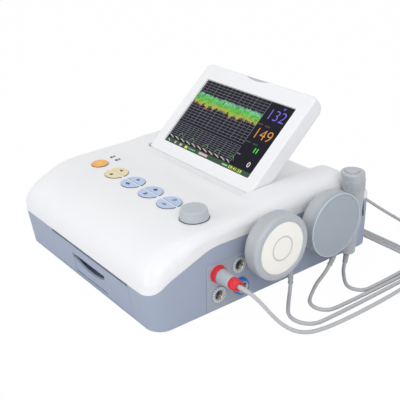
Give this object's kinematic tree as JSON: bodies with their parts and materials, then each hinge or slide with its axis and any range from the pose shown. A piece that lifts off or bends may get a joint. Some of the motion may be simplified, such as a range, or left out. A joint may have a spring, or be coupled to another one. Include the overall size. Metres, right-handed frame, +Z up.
{
  "type": "fetal doppler monitor",
  "caption": "Tabletop fetal monitor with a fold-down display, keypad, push-and-turn knob, paper drawer, two wall-hung transducers and an event marker on coiled cords.",
  "frame": {"origin": "centre of the case's footprint on the table, under the middle foot", "axes": "+X to the right as the user faces the keypad, -Y to the front where the paper drawer is, +Z up"},
  "size_m": [0.4341, 0.4361, 0.2023],
  "materials": {
    "white_shell": "satin moulded shell",
    "grey_shell": "satin moulded shell",
    "mid_grey": "satin moulded trim",
    "probe_grey": "satin moulded handle",
    "white_lens": "smooth contact face",
    "rubber_black": "matt rubber",
    "cable_grey": "soft cable sheath",
    "red_trim": "coloured ring",
    "blue_trim": "coloured ring",
    "grey_trim": "grey ring",
    "black_plastic": "matt black",
    "steel": "plated steel",
    "board_green": "coated board",
    "housing_dark": "module housing",
    "screen": "display glass",
    "lamp": "small lamp lens",
    "orange_cap": "key cap",
    "cream_cap": "key cap",
    "blue_cap": "key cap"
  },
  "bodies": {
    "case": {"base_shell": "grey_shell", "base_posts": "grey_shell", "top_cover": "white_shell", "rubber_feet": "rubber_black", "case_screws": "steel", "socket_panel": "mid_grey", "us_socket": "red_trim", "toco_socket": "blue_trim", "aux_sockets": "grey_trim", "transducer_hangers": "mid_grey", "belt_buttons": "probe_grey", "marker_clip": "mid_grey", "mains_inlet": "black_plastic", "main_board": "board_green", "power_supply": "housing_dark", "battery_pack": "housing_dark", "speaker": "black_plastic", "printer_frame": "mid_grey", "key_board": "board_green", "indicator_lenses": "lamp", "us_back_case": "probe_grey", "us_front_ring": "probe_grey", "us_face": "white_lens", "us_strain_relief": "cable_grey", "us_cable": "cable_grey", "us_coil": "cable_grey", "us_plug": "probe_grey", "us_plug_collar": "red_trim", "toco_case": "probe_grey", "toco_front": "probe_grey", "toco_strain_relief": "cable_grey", "toco_cable": "cable_grey", "toco_coil": "cable_grey", "toco_plug": "probe_grey", "marker_handle": "probe_grey", "marker_strain_relief": "cable_grey", "marker_cable": "cable_grey", "marker_coil": "cable_grey", "marker_plug": "probe_grey"},
    "lid": {"lid_bezel": "white_shell", "lid_back": "white_shell", "lcd_panel": "screen", "lid_hinge_pins": "steel"},
    "drawer": {"drawer_front": "grey_shell", "drawer_tray": "mid_grey"},
    "latch": {"drawer_latch": "mid_grey"},
    "roller": {"platen_roller": "rubber_black"},
    "encoder": {"encoder_shaft": "steel"},
    "knob": {"control_knob": "mid_grey"},
    "marker_push": {"marker_button": "probe_grey"},
    "rocker": {"power_rocker": "black_plastic"},
    "orange_key_body": {"orange_key": "orange_cap"},
    "cream_key_front_body": {"cream_key_front": "cream_cap"},
    "cream_key_rear_body": {"cream_key_rear": "cream_cap"},
    "blue_key_1_front_body": {"blue_key_1_front": "blue_cap"},
    "blue_key_1_rear_body": {"blue_key_1_rear": "blue_cap"},
    "blue_key_2_front_body": {"blue_key_2_front": "blue_cap"},
    "blue_key_2_rear_body": {"blue_key_2_rear": "blue_cap"},
    "blue_key_3_front_body": {"blue_key_3_front": "blue_cap"},
    "blue_key_3_rear_body": {"blue_key_3_rear": "blue_cap"}
  },
  "joints": [
    {"name": "display_hinge", "type": "hinge", "parent": "case", "child": "lid", "pos_m": [0, 0.00714, 0.10126], "axis": [1, 0, 0], "range_deg": [-42.4, 25]},
    {"name": "drawer_slide", "type": "slide", "parent": "case", "child": "drawer", "axis": [0, -1, 0], "range_m": [0, 0.1]},
    {"name": "latch_hinge", "type": "hinge", "parent": "drawer", "child": "latch", "pos_m": [0, -0.17255, 0.0096], "axis": [1, 0, 0], "range_deg": [0, 18], "stiffness_Nm_per_rad": 0.05},
    {"name": "platen_spin", "type": "hinge", "parent": "drawer", "child": "roller", "pos_m": [0.02, -0.163, 0.0433], "axis": [1, 0, 0], "continuous": true},
    {"name": "encoder_push", "type": "slide", "parent": "case", "child": "encoder", "axis": [0, 0.0436, -0.999], "range_m": [0, 0.0008], "stiffness_N_per_m": 600},
    {"name": "knob_turn", "type": "hinge", "parent": "encoder", "child": "knob", "pos_m": [0.109, -0.088, 0.10233], "axis": [0, -0.0436, 0.999], "continuous": true},
    {"name": "marker_press", "type": "slide", "parent": "case", "child": "marker_push", "axis": [0, 0, -1], "range_m": [0, 0.002], "stiffness_N_per_m": 400},
    {"name": "power_rock", "type": "hinge", "parent": "case", "child": "rocker", "pos_m": [-0.06, 0.168, 0.028], "axis": [1, 0, 0], "range_deg": [0, 14]},
    {"name": "orange_key_press", "type": "slide", "parent": "case", "child": "orange_key_body", "axis": [0, 0.0436, -0.999], "range_m": [0, 0.0012], "stiffness_N_per_m": 400},
    {"name": "cream_key_front_press", "type": "slide", "parent": "case", "child": "cream_key_front_body", "axis": [0, 0.0436, -0.999], "range_m": [0, 0.0012], "stiffness_N_per_m": 400},
    {"name": "cream_key_rear_press", "type": "slide", "parent": "case", "child": "cream_key_rear_body", "axis": [0, 0.0436, -0.999], "range_m": [0, 0.0012], "stiffness_N_per_m": 400},
    {"name": "blue_key_1_front_press", "type": "slide", "parent": "case", "child": "blue_key_1_front_body", "axis": [0, 0.0436, -0.999], "range_m": [0, 0.0012], "stiffness_N_per_m": 400},
    {"name": "blue_key_1_rear_press", "type": "slide", "parent": "case", "child": "blue_key_1_rear_body", "axis": [0, 0.0436, -0.999], "range_m": [0, 0.0012], "stiffness_N_per_m": 400},
    {"name": "blue_key_2_front_press", "type": "slide", "parent": "case", "child": "blue_key_2_front_body", "axis": [0, 0.0436, -0.999], "range_m": [0, 0.0012], "stiffness_N_per_m": 400},
    {"name": "blue_key_2_rear_press", "type": "slide", "parent": "case", "child": "blue_key_2_rear_body", "axis": [0, 0.0436, -0.999], "range_m": [0, 0.0012], "stiffness_N_per_m": 400},
    {"name": "blue_key_3_front_press", "type": "slide", "parent": "case", "child": "blue_key_3_front_body", "axis": [0, 0.0436, -0.999], "range_m": [0, 0.0012], "stiffness_N_per_m": 400},
    {"name": "blue_key_3_rear_press", "type": "slide", "parent": "case", "child": "blue_key_3_rear_body", "axis": [0, 0.0436, -0.999], "range_m": [0, 0.0012], "stiffness_N_per_m": 400}
  ]
}
